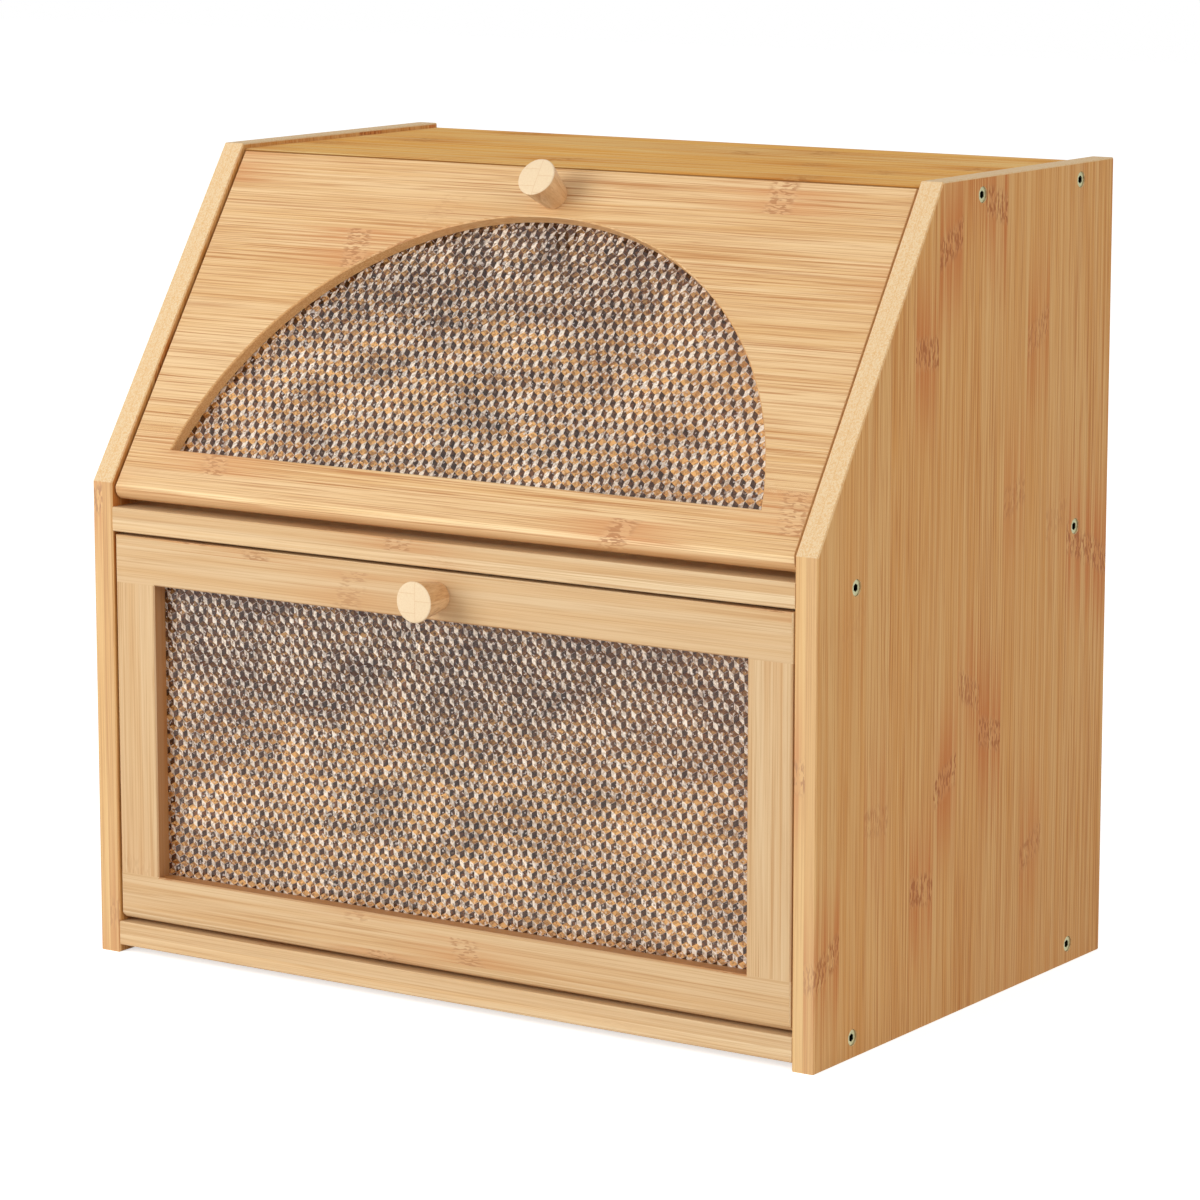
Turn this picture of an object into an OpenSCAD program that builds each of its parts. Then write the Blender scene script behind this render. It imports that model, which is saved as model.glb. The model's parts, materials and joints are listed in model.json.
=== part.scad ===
// Two-tier bamboo bread box with two drop-down flap doors, after one photograph.
// Two side panels carry a bottom panel, a shelf, a top panel and a thin back. Each compartment is
// closed by a flap that turns on pins at its foot: a sloped one with a half-moon window above,
// an upright frame with a wide window below. Each flap is pulled by a tapered peg knob.
// Millimetres. +Z is up, the doors face -Y, and the origin lies on the counter under the middle
// of the closed box, knobs included.

/* [Case] */
// Overall width over the two side panels
box_w = 380; // [320:1:440]
// Depth of the side panels
side_depth = 252; // [235:1:280]
// Length of the side panels' level top edge
top_edge = 153; // [140:1:165]
// Thickness of the case's boards
board_t = 11; // [9:0.5:13]
// Clear height of the lower compartment
lower_clear = 180; // [150:1:210]
// Clear height of the upper compartment
upper_clear = 143; // [130:1:165]
// Height above the shelf at which the side panels' front edge starts to slope
knee_rise = 11; // [8:0.5:14]
// How far the top panel lies below the sides' top edges
top_drop = 2.2; // [0.5:0.1:5]
// Gap between the counter and the bottom panel
foot_gap = 3.5; // [1:0.5:10]
// Setback of the boards' front edges behind the sides' front edges
front_setback = 0.1; // [0:0.1:2]
// Width of the eased edges
edge_ease = 0.6; // [0.3:0.1:1]

/* [Back panel] */
// Thickness of the back panel
back_t = 5; // [3:0.5:8]
// Distance from the sides' back edges to the back panel
back_inset = 8; // [4:1:14]
// Depth of the grooves that hold the back panel
groove_depth = 4; // [2:0.5:6]
// Play of the back panel in its grooves, each way
groove_play = 0.15; // [0.05:0.05:0.4]

/* [Case screws] */
// Distance from the sides' front edge to the front screws of the shelf and the bottom
screw_front = 31; // [20:1:50]
// Distance from the sides' back edge to the back screws
screw_back = 30.5; // [26:0.5:50]
// Distance from the top edge's front corner to the front screws of the top panel
top_screw_front = 34; // [20:1:45]
// Diameter of the screws' barrel heads
screw_head_d = 6.8; // [6:0.1:8]
// Diameter of the screws' shanks
screw_shank_d = 5; // [4:0.1:5.5]
// Length of the screws, from head to tip
screw_length = 40; // [30:1:50]
// Depth of the heads below the sides' outer faces
screw_recess = 0.6; // [0:0.1:2]
// Width across the flats of the hexagon sockets
screw_hex = 3.2; // [2.5:0.1:4]
// Depth of the hexagon sockets
screw_hex_depth = 3; // [2:0.5:4]

/* [Doors] */
// Thickness of the doors
door_t = 11; // [10:0.5:13]
// Gap between a door's end and the side panel
door_side_gap = 1.1; // [0.6:0.1:2]
// Diameter of the hinge pins
pin_d = 4; // [3:0.5:5]
// Length of a hinge pin inside the door
pin_in_door = 14; // [10:1:20]
// Length of a hinge pin inside the side panel
pin_in_side = 6; // [4:0.5:7]
// Thickness of the clear panes
pane_t = 2; // [1.5:0.1:2.5]
// Gap between a pane's edge and its rebate
pane_play = 0.3; // [0.2:0.1:0.5]

/* [Upper door] */
// Depth of the door's front face below the sides' sloped edges
upper_inset = 1.5; // [0:0.1:4]
// Height of the door's round foot above the shelf
upper_foot_gap = 3.2; // [1:0.1:5]
// How far the top panel's front edge lies behind the front corner of the sides' top edge
top_setback = 0.8; // [0:0.1:2]
// Gap between the door's top end and the top panel's front edge
upper_top_gap = 0.9; // [0.5:0.1:2]
// Width of the flat that blunts the door's thin top edge
tip_flat = 0.4; // [0.3:0.1:1]
// Wood between the door's end and the window's corner
moon_side = 23.1; // [21:0.1:35]
// Height of the window's straight edge above the hinge
moon_bottom = 17.9; // [16:0.1:25]
// Wood between the window's highest point and the door's top edge
moon_top = 24; // [23:0.1:32]
// Depth of the pane below the door's front face
upper_reveal = 5.6; // [5:0.1:6]
// Width of the ledge that the pane lies on
upper_ledge = 4.5; // [3:0.1:5]
// Distance of the knob below the door's top edge
upper_knob_drop = 14.1; // [12:0.1:15]
// Places of the pane screws round the arch, in degrees from its highest point
arch_screw_angles = [-72, -38, 38, 72];
// Distance of the lower pane screws from the middle
sill_screw_x = 75; // [40:1:90]

/* [Lower door] */
// Setback of the door's front face behind the sides' front edges
lower_setback = 0.6; // [0:0.1:2]
// Gap between the door's top edge and the shelf
lower_top_gap = 1.5; // [0.8:0.1:3]
// Height of the door's round foot above the bottom panel
lower_foot_gap = 1.4; // [0.8:0.1:3]
// Width of the stiles
stile_w = 21.7; // [19:0.1:30]
// Height of the top rail
top_rail_h = 21.4; // [20:0.1:28]
// Height of the bottom rail
bottom_rail_h = 21.9; // [20:0.1:28]
// Depth of the pane below the door's front face
lower_reveal = 7.75; // [5:0.05:7.9]
// Width of the ledge that the pane lies on
lower_ledge = 6; // [4:0.1:7]
// Distance of the rails' pane screws from the middle
rail_screw_x = 95; // [60:1:110]
// Diameter of the dowels that join the rails to the stiles
dowel_d = 6; // [4:0.5:6]
// Length of a dowel
dowel_length = 20; // [14:1:24]

/* [Knobs] */
// Length of a knob
knob_length = 18.1; // [14:0.1:24]
// Diameter of a knob's face
knob_face_d = 18.5; // [15:0.1:20]
// Diameter of a knob at the door
knob_base_d = 13; // [11:0.1:14]
// Width of the eased rim of a knob's face
knob_ease = 0.8; // [0.4:0.1:1.5]
// Diameter of the knob screws
knob_screw_d = 3.5; // [3:0.1:4]
// Length of the knob screws under the head
knob_screw_length = 16; // [12:1:18]
// Diameter of the knob screws' heads
knob_screw_head_d = 6.8; // [6:0.1:7.2]
// Wood between the door's front face and the knob screw's head
knob_screw_seat = 3.5; // [3:0.1:4]

/* [Pane screws] */
// Diameter of the pane screws
pane_screw_d = 2.2; // [2:0.1:2.5]
// Length of the pane screws under the head
pane_screw_length = 5; // [4:0.5:5.5]
// Diameter of the pane screws' heads
pane_screw_head_d = 5.6; // [5:0.1:6]
// Height of the pane screws' heads
pane_screw_head_h = 1.1; // [0.8:0.1:1.2]
// Distance of a pane screw's axis outside the pane's edge
pane_screw_out = 2; // [1.6:0.1:2.2]

/* [Catches] */
// Diameter of the catch magnets and of the strike discs
magnet_d = 5; // [4:0.5:6]
// Thickness of the catch magnets
magnet_t = 4; // [2:0.5:5]
// Thickness of the steel strike discs
strike_t = 1.5; // [1:0.1:1.6]
// Distance of the upper magnets from the middle
upper_magnet_x = 70; // [30:1:110]
// Height of the upper magnets above the top panel's underside
upper_magnet_rise = 3.4; // [3:0.1:4]
// Distance of the lower magnets from the middle
lower_magnet_x = 14; // [10:1:20]
// Width of the stop block under the shelf
stop_w = 70; // [60:1:100]
// Height of the stop block
stop_h = 14; // [10:0.5:18]
// Depth of the stop block, front to back
stop_depth = 18; // [12:1:30]
// Gap between the closed lower door and the stop block
stop_gap = 0.3; // [0.2:0.1:1]
// Distance of the stop block's screws from the middle
stop_screw_x = 26; // [24:1:28]
// Length of the stop block's screws
stop_screw_length = 22; // [20:1:24]

/* [Hidden] */
$fn = 96;
// Radial clearance of pins, shanks and dowels that sit still in their holes
fit_play = 0.05;
// Radial running clearance of the hinge pins in the side panels
run_play = 0.08;
// Clearance behind the end of a pin, screw or dowel in its blind hole
end_play = 0.5;
// Radial clearance round a screw's head in its hole
head_play = 0.2;
// Gap between the shelf's back edge and the back panel
shelf_back_gap = 0.3;
// Overlap of cutting shapes past the faces that they cut
past = 1;

// Heights of the case, from the counter up
bottom_top = foot_gap + board_t;
shelf_under = bottom_top + lower_clear;
shelf_top = shelf_under + board_t;
knee_z = shelf_top + knee_rise;
top_under = shelf_top + upper_clear;
top_top = top_under + board_t;
side_height = top_top + top_drop;

// The slope of the side panels' front edges
slope_run = side_depth - top_edge;
slope_rise = side_height - knee_z;
slope_angle = atan(slope_run / slope_rise);

// Widths
inner_x = box_w / 2 - board_t;
door_x = inner_x - door_side_gap;

// The knob of the lower door is the part's foremost point, so it shares in centring the part.
front_y = (knob_length - lower_setback - side_depth) / 2;

// Back panel and the boards' front and back edges, measured from the sides' front edges
back_face = side_depth - back_inset - back_t;
top_front = slope_run + top_setback;

// Hinge lines, measured from the sides' front edges and the counter
lower_hinge_y = lower_setback + door_t / 2;
lower_hinge_z = bottom_top + lower_foot_gap + door_t / 2;
upper_hinge_z = shelf_top + upper_foot_gap + door_t / 2;
upper_hinge_y = (upper_inset + door_t / 2 + (upper_hinge_z - knee_z) * sin(slope_angle))
    / cos(slope_angle);

// The upper door in its own frame: hinge line at the origin, front face at -door_t / 2.
// Its top end is cut upright, so that it closes against the top panel's square edge.
upper_end_y = top_front - upper_top_gap;
function upper_end(y) = (upper_end_y - upper_hinge_y - y * cos(slope_angle)) / sin(slope_angle);
upper_top = upper_end(-door_t / 2) - tip_flat / sin(slope_angle);
upper_knob_z = upper_top - upper_knob_drop;

// The half-moon window: an arc of moon_r round a centre on the door's middle line
moon_apex = upper_top - moon_top;
moon_half = door_x - moon_side;
moon_rise = moon_apex - moon_bottom;
moon_r = (moon_half ^ 2 + moon_rise ^ 2) / (2 * moon_rise);
moon_centre = moon_apex - moon_r;

// The lower door in its own frame
lower_top = shelf_under - lower_top_gap - lower_hinge_z;
window_low = bottom_rail_h - door_t / 2;
window_high = lower_top - top_rail_h;
window_x = door_x - stile_w;
lower_knob_z = lower_top - top_rail_h / 2;

// Heights and depths of the catches
upper_magnet_z = top_under + upper_magnet_rise;
stop_front = lower_setback + door_t + stop_gap;
lower_magnet_z = shelf_under - stop_h / 2;

// Each door's pane screws as [x, z] in the door's frame, outside the edge of its pane
moon_screw_r = moon_r + upper_ledge - pane_play + pane_screw_out;
moon_screw_z = moon_bottom - upper_ledge + pane_play - pane_screw_out;
upper_screws = concat(
    [for (a = arch_screw_angles) [moon_screw_r * sin(a), moon_centre + moon_screw_r * cos(a)]],
    [for (s = [-1, 1]) [s * sill_screw_x, moon_screw_z]]
);
lower_out = lower_ledge - pane_play + pane_screw_out;
lower_screws = concat(
    [for (x = [-rail_screw_x, rail_screw_x], z = [window_low - lower_out, window_high + lower_out]) [x, z]],
    [for (s = [-1, 1]) [s * (window_x + lower_out), (window_low + window_high) / 2]]
);

// The six screws of one side panel as [y, z]
case_screws_yz = [
    [screw_front, foot_gap + board_t / 2],
    [side_depth - screw_back, foot_gap + board_t / 2],
    [screw_front, shelf_under + board_t / 2],
    [side_depth - screw_back, shelf_under + board_t / 2],
    [slope_run + top_screw_front, top_under + board_t / 2],
    [side_depth - screw_back, top_under + board_t / 2]
];

// ---- Frames and helpers ----

// Moves pieces measured from the sides' front edges so that the part is centred on the origin.
module placed() {
    translate([0, front_y, 0]) children();
}

module at_upper_hinge() {
    placed() translate([0, upper_hinge_y, upper_hinge_z]) rotate([-slope_angle, 0, 0]) children();
}

module at_lower_hinge() {
    placed() translate([0, lower_hinge_y, lower_hinge_z]) children();
}

// A profile in Y and Z, drawn out along X from -half to half.
module along_x(half) {
    translate([-half, 0, 0]) rotate([90, 0, 90]) linear_extrude(2 * half) children();
}

// A shape in X and Z, drawn out along Y from y0 to y1.
module along_y(y0, y1) {
    translate([0, y1, 0]) rotate([90, 0, 0]) linear_extrude(y1 - y0) children();
}

// A round bar along Y from y0 to y1, at x and z.
module round_y(x, z, y0, y1, d) {
    translate([x, y0, z]) rotate([-90, 0, 0]) cylinder(h = y1 - y0, d = d);
}

// A square bar on its corner, along X through the origin: it eases an edge that lies there.
module ease_bar(length, ease = edge_ease) {
    rotate([45, 0, 0]) cube([length, ease * sqrt(2), ease * sqrt(2)], center = true);
}

// A board from y0 to y1 and z0 to z1 between the side panels, its long edges eased.
module board(y0, y1, z0, z1) {
    e = edge_ease;
    along_x(inner_x)
        polygon([
            [y0 + e, z0], [y1 - e, z0], [y1, z0 + e], [y1, z1 - e],
            [y1 - e, z1], [y0 + e, z1], [y0, z1 - e], [y0, z0 + e]
        ]);
}

// A plate of the given outline and thickness, both its faces eased all the way round.
module eased_plate(points, t) {
    difference() {
        linear_extrude(t) polygon(points);
        for (i = [0:len(points) - 1]) {
            a = points[i];
            b = points[(i + 1) % len(points)];
            for (z = [0, t])
                translate([(a.x + b.x) / 2, (a.y + b.y) / 2, z])
                    rotate([0, 0, atan2(b.y - a.y, b.x - a.x)])
                        ease_bar(norm(b - a) + 2 * edge_ease);
        }
    }
}

// The holes that the case screws fill in the boards' ends.
module screw_holes(rows) {
    depth = screw_length - board_t + end_play;
    for (i = rows, s = [-1, 1])
        translate([s * (inner_x - depth), case_screws_yz[i].x, case_screws_yz[i].y])
            rotate([0, s * 90, 0])
                cylinder(h = depth + past, d = screw_shank_d + 2 * fit_play);
}

// The back panel's outline, grown by the play, for the panel (0) and its grooves.
module back_blank(play) {
    half = inner_x + groove_depth - groove_play + play;
    low = bottom_top - groove_depth + groove_play - play;
    high = top_under + groove_depth - groove_play + play;
    translate([-half, back_face - play, low]) cube([2 * half, back_t + 2 * play, high - low]);
}

// ---- Case ----

module side_panel() {
    placed() difference() {
        translate([inner_x, 0, 0]) rotate([90, 0, 90])
            eased_plate([
                [0, 0], [side_depth, 0], [side_depth, side_height],
                [slope_run, side_height], [0, knee_z]
            ], board_t);
        back_blank(groove_play);
        for (p = case_screws_yz)
            translate([inner_x - past, p.x, p.y]) rotate([0, 90, 0])
                cylinder(h = board_t + 2 * past, d = screw_head_d + 2 * head_play);
        for (p = [[lower_hinge_y, lower_hinge_z], [upper_hinge_y, upper_hinge_z]])
            translate([inner_x - past, p.x, p.y]) rotate([0, 90, 0])
                cylinder(h = past + pin_in_side + end_play, d = pin_d + 2 * run_play);
    }
}

module left_side_panel() {
    color("#c2895a") mirror([1, 0, 0]) side_panel();
}

module right_side_panel() {
    color("#c2895a") side_panel();
}

module top_panel() {
    color("#d9a76a") placed() difference() {
        board(top_front, side_depth, top_under, top_top);
        back_blank(groove_play);
        screw_holes([4, 5]);
        for (s = [-1, 1])
            round_y(s * upper_magnet_x, upper_magnet_z, top_front - past,
                top_front + magnet_t, magnet_d + 2 * fit_play);
    }
}

module middle_shelf() {
    color("#e2bd88") placed() difference() {
        board(front_setback, back_face - shelf_back_gap, shelf_under, shelf_top);
        screw_holes([2, 3]);
        for (s = [-1, 1])
            translate([s * stop_screw_x, stop_front + stop_depth / 2, shelf_under - past])
                cylinder(h = past + stop_screw_length - stop_h + end_play, d = knob_screw_d + 2 * fit_play);
    }
}

module bottom_panel() {
    color("#e2bd88") placed() difference() {
        board(front_setback, side_depth, foot_gap, bottom_top);
        back_blank(groove_play);
        screw_holes([0, 1]);
    }
}

module back_panel() {
    color("#d8b27c") placed() back_blank(0);
}

// A barrel-headed screw along +Z, its head's face at the origin.
module case_screw() {
    tip = screw_shank_d / 2;
    head = board_t - screw_recess;
    difference() {
        rotate_extrude()
            polygon([
                [0, 0], [screw_head_d / 2, 0], [screw_head_d / 2, head], [screw_shank_d / 2, head],
                [screw_shank_d / 2, screw_length - screw_recess - tip], [0, screw_length - screw_recess]
            ]);
        translate([0, 0, -past]) cylinder(h = past + screw_hex_depth, d = screw_hex / cos(30), $fn = 6);
    }
}

module case_screws() {
    color("#d8cba6") placed() for (p = case_screws_yz, s = [-1, 1])
        translate([s * (box_w / 2 - screw_recess), p.x, p.y]) rotate([0, -s * 90, 0]) case_screw();
}

module upper_catch_magnets() {
    color("#9a9ca0") placed() for (s = [-1, 1])
        round_y(s * upper_magnet_x, upper_magnet_z, top_front, top_front + magnet_t, magnet_d);
}

module lower_stop_block() {
    color("#cf9f66") placed() difference() {
        translate([-stop_w / 2, stop_front, shelf_under - stop_h]) cube([stop_w, stop_depth, stop_h]);
        for (s = [-1, 1]) {
            round_y(s * lower_magnet_x, lower_magnet_z, stop_front - past,
                stop_front + magnet_t, magnet_d + 2 * fit_play);
            translate([s * stop_screw_x, stop_front + stop_depth / 2, shelf_under - stop_h]) {
                translate([0, 0, -past])
                    cylinder(h = stop_h + 2 * past, d = knob_screw_d + 2 * fit_play);
                stop_screw_head(head_play);
            }
        }
    }
}

// The countersunk head of a stop block screw, grown by the play for its seat.
module stop_screw_head(play) {
    r = knob_screw_head_d / 2 + play;
    rotate_extrude() polygon([[0, 0], [r, 0], [knob_screw_d / 2, r - knob_screw_d / 2], [0, r - knob_screw_d / 2]]);
}

module stop_block_screws() {
    color("#b9b9b4") placed() for (s = [-1, 1])
        translate([s * stop_screw_x, stop_front + stop_depth / 2, shelf_under - stop_h]) difference() {
            union() {
                stop_screw_head(0);
                cylinder(h = stop_screw_length, d = knob_screw_d);
            }
            cross_slot(knob_screw_head_d);
        }
}

module lower_catch_magnets() {
    color("#9a9ca0") placed() for (s = [-1, 1])
        round_y(s * lower_magnet_x, lower_magnet_z, stop_front, stop_front + magnet_t, magnet_d);
}

// ---- Pieces that both doors have ----

// The cross slot of a screw head whose face lies in the plane Z = 0, cut upwards.
module cross_slot(head_d) {
    depth = head_d / 5;
    for (a = [0, 90])
        rotate([0, 0, a]) translate([-head_d / 3, -head_d / 14, -past]) cube([head_d * 2 / 3, head_d / 7, past + depth]);
}

// A peg knob on the door's front face, its foot at the origin and its face towards -Y.
module knob() {
    rb = knob_base_d / 2;
    rf = knob_face_d / 2;
    bore = knob_screw_length - knob_screw_seat + end_play;
    rotate([90, 0, 0]) difference() {
        rotate_extrude()
            polygon([
                [0, 0], [rb, 0], [rf, knob_length - knob_ease], [rf - knob_ease, knob_length], [0, knob_length]
            ]);
        translate([0, 0, -past]) cylinder(h = past + bore, d = knob_screw_d + 2 * fit_play);
    }
}

// A pan-headed screw from behind, its tip towards -Y and the underside of its head at the origin.
module rear_screw(d, length, head_d, head_h) {
    rotate([90, 0, 0]) difference() {
        union() {
            cylinder(h = length, d = d);
            translate([0, 0, -head_h]) cylinder(h = head_h, d = head_d);
        }
        translate([0, 0, -head_h]) cross_slot(head_d);
    }
}

module knob_screw(z) {
    translate([0, knob_screw_seat - door_t / 2, z])
        rear_screw(knob_screw_d, knob_screw_length, knob_screw_head_d, knob_screw_head_d * 0.32);
}

// The knob screw's hole through the door and the wider hole for its head, open to the back.
module knob_screw_hole(z) {
    round_y(0, z, -door_t / 2 - past, door_t / 2 + past, knob_screw_d + 2 * fit_play);
    round_y(0, z, knob_screw_seat - door_t / 2, door_t + past, knob_screw_head_d + 2 * head_play);
}

module pane_screws(places, reveal) {
    for (p = places)
        translate([p.x, reveal + pane_t - door_t / 2, p.y])
            rear_screw(pane_screw_d, pane_screw_length, pane_screw_head_d, pane_screw_head_h);
}

// The pane screws' holes, and the pockets in which their heads lap over the pane.
module pane_screw_holes(places, reveal) {
    seat = reveal + pane_t - door_t / 2;
    for (p = places) {
        round_y(p.x, p.y, seat - pane_screw_length - end_play, seat + past, pane_screw_d + 2 * fit_play);
        round_y(p.x, p.y, seat, door_t / 2 + past, pane_screw_head_d + 2 * head_play);
    }
}

module hinge_pins() {
    for (s = [-1, 1])
        translate([s * (door_x - pin_in_door), 0, 0]) rotate([0, s * 90, 0])
            cylinder(h = pin_in_door + door_side_gap + pin_in_side, d = pin_d);
}

module hinge_pin_holes() {
    for (s = [-1, 1])
        translate([s * (door_x - pin_in_door - end_play), 0, 0]) rotate([0, s * 90, 0])
            cylinder(h = pin_in_door + end_play + past, d = pin_d + 2 * fit_play);
}

// A door's body: a slab with the given top, as points from front to back, and a round foot.
module door_slab(top) {
    t = door_t / 2;
    along_x(door_x) polygon(concat([[-t, 0]], top, [[t, 0]]));
    along_x(door_x) circle(r = t);
}

// The bars that ease a door's two ends, front and back. They fade out on the round foot.
module end_ease(height) {
    for (s = [-1, 1], y = [-1, 1])
        translate([s * door_x, y * door_t / 2, height / 2])
            rotate([0, 90, 0]) ease_bar(height + 2 * door_t);
}

// The trapezoid that eases an opening's front edge, as [depth, reach] points. It reaches one
// edge_ease past the opening at the front face and slants inwards at 45 degrees.
function ease_wedge(reach) = [
    [-past, reach + edge_ease + past], [edge_ease + past, reach - past],
    [edge_ease + past, -reach + past], [-past, -reach - edge_ease - past]
];

// ---- Upper door ----

// The half-moon, grown all round.
module moon(grow) {
    intersection() {
        translate([0, moon_centre]) circle(r = moon_r + grow);
        translate([-box_w, moon_bottom - grow]) square([2 * box_w, moon_rise + 2 * grow]);
    }
}

module upper_door_board() {
    t = door_t / 2;
    color("#ecd2a0") at_upper_hinge() difference() {
        door_slab([
            [-t, upper_top], [-t + tip_flat * cos(slope_angle), upper_top + tip_flat * sin(slope_angle)],
            [t, upper_end(t)]
        ]);
        along_y(-t - past, t + past) moon(0);
        along_y(upper_reveal - t, t + past) moon(upper_ledge);
        translate([0, -t, 0]) moon_ease();
        end_ease(upper_top);
        pane_screw_holes(upper_screws, upper_reveal);
        knob_screw_hole(upper_knob_z);
        hinge_pin_holes();
        for (s = [-1, 1]) strike_at(s * upper_magnet_x, past, 2 * fit_play);
    }
}

// The cut that eases the half-moon's front edge: a cone for the arc, a wedge for the sill.
module moon_ease() {
    intersection() {
        translate([0, -past, moon_centre]) rotate([-90, 0, 0])
            cylinder(h = edge_ease + 2 * past, r1 = moon_r + edge_ease + past, r2 = moon_r - past);
        translate([0, 0, moon_bottom + box_w]) along_x(box_w) polygon(ease_wedge(box_w));
    }
}

// An upright strike disc in the door's cut end, in the door's frame. It is grown for its seat.
module strike_at(x, past_face, grow) {
    rotate([slope_angle, 0, 0]) translate([0, -upper_hinge_y, -upper_hinge_z])
        round_y(x, upper_magnet_z, upper_end_y - strike_t, upper_end_y + past_face, magnet_d + grow);
}

module upper_window_pane() {
    color("#e9e2cc", 0.6) at_upper_hinge()
        along_y(upper_reveal - door_t / 2, upper_reveal + pane_t - door_t / 2)
            moon(upper_ledge - pane_play);
}

module upper_pane_screws() {
    color("#b9b9b4") at_upper_hinge() pane_screws(upper_screws, upper_reveal);
}

module upper_knob() {
    color("#d79a5c") at_upper_hinge() translate([0, -door_t / 2, upper_knob_z]) knob();
}

module upper_knob_screw() {
    color("#b9b9b4") at_upper_hinge() knob_screw(upper_knob_z);
}

module upper_strikes() {
    color("#b9b9b4") at_upper_hinge() for (s = [-1, 1]) strike_at(s * upper_magnet_x, 0, 0);
}

module upper_hinge_pins() {
    color("#b9b9b4") at_upper_hinge() hinge_pins();
}

// ---- Lower door ----

// The lower door's outer shape between two heights, with its round foot and eased top edge.
module lower_slab(z0, z1) {
    t = door_t / 2;
    e = edge_ease;
    intersection() {
        door_slab([[-t, lower_top - e], [-t + e, lower_top], [t - e, lower_top], [t, lower_top - e]]);
        translate([-box_w, -door_t, z0]) cube([2 * box_w, 2 * door_t, z1 - z0]);
    }
}

// The window, grown all round, between two depths.
module window(grow, y0, y1) {
    translate([-window_x - grow, y0, window_low - grow])
        cube([2 * (window_x + grow), y1 - y0, window_high - window_low + 2 * grow]);
}

// The cut that eases the window's front edge all round.
module window_ease() {
    half_h = (window_high - window_low) / 2;
    translate([0, -door_t / 2, window_low + half_h]) intersection() {
        along_x(box_w) polygon(ease_wedge(half_h));
        rotate([0, 90, 0]) along_x(box_w) polygon(ease_wedge(window_x));
    }
}

// Everything that is cut out of the lower door once its frame is glued up.
module lower_cuts() {
    window(lower_ledge, lower_reveal - door_t / 2, door_t / 2 + past);
    window_ease();
    end_ease(lower_top);
    pane_screw_holes(lower_screws, lower_reveal);
    knob_screw_hole(lower_knob_z);
    hinge_pin_holes();
    lower_strike_discs(past, 2 * fit_play);
    frame_dowels(2 * fit_play, end_play);
}

module lower_strike_discs(past_face, grow) {
    for (s = [-1, 1])
        round_y(s * lower_magnet_x, lower_magnet_z - lower_hinge_z, door_t / 2 - strike_t,
            door_t / 2 + past_face, magnet_d + grow);
}

module frame_dowels(grow, longer) {
    for (s = [-1, 1], z = [window_low, window_high])
        translate([s * (door_x - stile_w / 2), 0, z])
            cylinder(h = dowel_length + 2 * longer, d = dowel_d + grow, center = true);
}

module lower_top_rail() {
    color("#e6bf86") at_lower_hinge() difference() {
        lower_slab(window_high, lower_top + past);
        lower_cuts();
    }
}

module lower_bottom_rail() {
    color("#e6bf86") at_lower_hinge() difference() {
        lower_slab(-door_t, window_low);
        lower_cuts();
    }
}

module stile() {
    difference() {
        intersection() {
            lower_slab(window_low, window_high);
            translate([window_x, -door_t, window_low]) cube([box_w, 2 * door_t, window_high - window_low]);
        }
        lower_cuts();
    }
}

module lower_left_stile() {
    color("#edd0a0") at_lower_hinge() mirror([1, 0, 0]) stile();
}

module lower_right_stile() {
    color("#edd0a0") at_lower_hinge() stile();
}

module lower_window_pane() {
    color("#e9e2cc", 0.6) at_lower_hinge()
        window(lower_ledge - pane_play, lower_reveal - door_t / 2, lower_reveal + pane_t - door_t / 2);
}

module lower_pane_screws() {
    color("#b9b9b4") at_lower_hinge() pane_screws(lower_screws, lower_reveal);
}

module lower_knob() {
    color("#d79a5c") at_lower_hinge() translate([0, -door_t / 2, lower_knob_z]) knob();
}

module lower_knob_screw() {
    color("#b9b9b4") at_lower_hinge() knob_screw(lower_knob_z);
}

module lower_strikes() {
    color("#b9b9b4") at_lower_hinge() lower_strike_discs(0, 0);
}

module lower_frame_dowels() {
    color("#c99b66") at_lower_hinge() frame_dowels(0, 0);
}

module lower_hinge_pins() {
    color("#b9b9b4") at_lower_hinge() hinge_pins();
}

// ---- The part ----

left_side_panel();
right_side_panel();
top_panel();
middle_shelf();
bottom_panel();
back_panel();
case_screws();
upper_catch_magnets();
lower_stop_block();
stop_block_screws();
lower_catch_magnets();
upper_door_board();
upper_window_pane();
upper_pane_screws();
upper_knob();
upper_knob_screw();
upper_strikes();
upper_hinge_pins();
lower_top_rail();
lower_bottom_rail();
lower_left_stile();
lower_right_stile();
lower_window_pane();
lower_pane_screws();
lower_knob();
lower_knob_screw();
lower_strikes();
lower_frame_dowels();
lower_hinge_pins();
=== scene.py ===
# %% [markdown]
# # A two-tier bamboo bread box
#
# The CAD model holds every board, screw and hinge pin of the box. This lesson loads it as a fixed
# frame, gives each board the grain of laminated bamboo, and swaps four pieces for finer ones: the
# two embossed panes and the two turned knobs. Lengths are in metres unless a name ends in _mm.

# %% Load the frame
import json
from math import cos, radians, sin

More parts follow.
